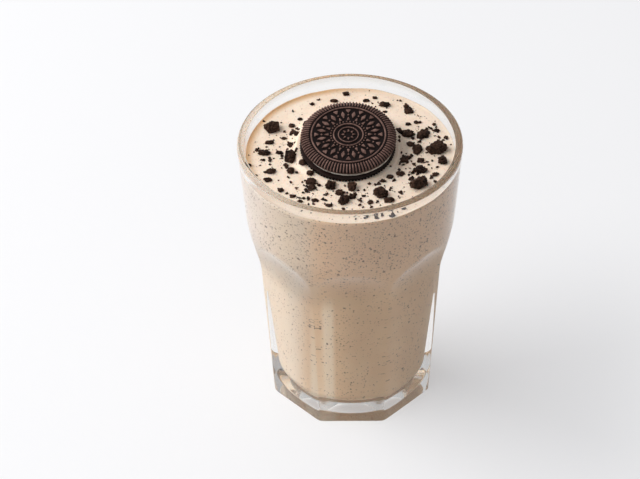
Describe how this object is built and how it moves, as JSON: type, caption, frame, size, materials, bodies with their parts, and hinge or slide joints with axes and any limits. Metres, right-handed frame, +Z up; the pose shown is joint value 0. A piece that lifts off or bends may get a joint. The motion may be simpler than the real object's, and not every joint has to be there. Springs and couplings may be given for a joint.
{
  "type": "milkshake",
  "caption": "Cookies-and-cream milkshake in a clear eight-sided tumbler with a round rim, a sandwich biscuit lying on top and dark biscuit crumbs over the drink",
  "frame": {"origin": "on the table, at the middle of the underside of the glass's foot", "axes": "+Z up along the glass's axis; one of the eight flats faces -Y, the side seen from the front"},
  "size_m": [0.1, 0.1, 0.145],
  "materials": {
    "clear_glass": "clear fire-polished pressed glass",
    "shake": "opaque beige milkshake with fine dark specks, satin wet surface",
    "cocoa_biscuit": "embossed dark cocoa wafer, dry and matt",
    "cream_filling": "smooth pale fat cream",
    "cocoa_crumb": "rough broken cocoa biscuit"
  },
  "bodies": {
    "root": {"glass": "clear_glass", "milkshake": "shake", "biscuit_upper": "cocoa_biscuit", "biscuit_cream": "cream_filling", "biscuit_lower": "cocoa_biscuit", "crumb_left_back": "cocoa_crumb", "crumb_left": "cocoa_crumb", "crumb_left_edge": "cocoa_crumb", "crumb_right_edge": "cocoa_crumb", "crumb_front_right": "cocoa_crumb", "crumb_front_mid": "cocoa_crumb", "crumb_front_edge": "cocoa_crumb", "crumb_biscuit_left": "cocoa_crumb", "crumb_biscuit_front": "cocoa_crumb", "crumb_right_back": "cocoa_crumb", "crumb_right_front": "cocoa_crumb", "crumb_biscuit_right": "cocoa_crumb", "crumb_right_mid": "cocoa_crumb", "crumb_right_rim": "cocoa_crumb"}
  },
  "joints": []
}
